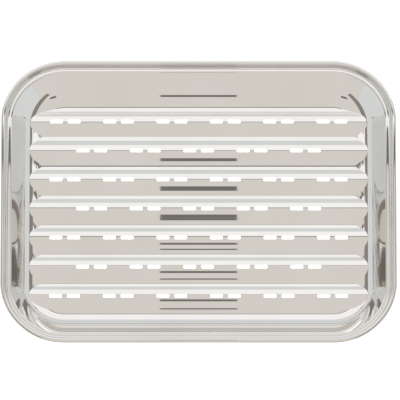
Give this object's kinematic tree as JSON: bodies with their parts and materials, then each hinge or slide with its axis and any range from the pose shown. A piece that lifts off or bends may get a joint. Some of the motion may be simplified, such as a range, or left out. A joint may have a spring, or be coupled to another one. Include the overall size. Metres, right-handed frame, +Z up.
{
  "type": "grill tray",
  "caption": "Shallow rounded-rectangular grill tray pressed from polished stainless sheet, with a rolled rim and slotted ridges across its whole floor.",
  "frame": {"origin": "centre of the underside of the floor, on the surface that the tray rests on", "axes": "+X along the tray and its ridges, +Y across it, +Z up out of the well"},
  "size_m": [0.35, 0.265, 0.0245],
  "materials": {
    "tray_steel": "mirror-polished stainless sheet",
    "wire_steel": "drawn steel wire"
  },
  "bodies": {
    "root": {"pressed_tray": "tray_steel", "rim_wire": "wire_steel"}
  },
  "joints": []
}
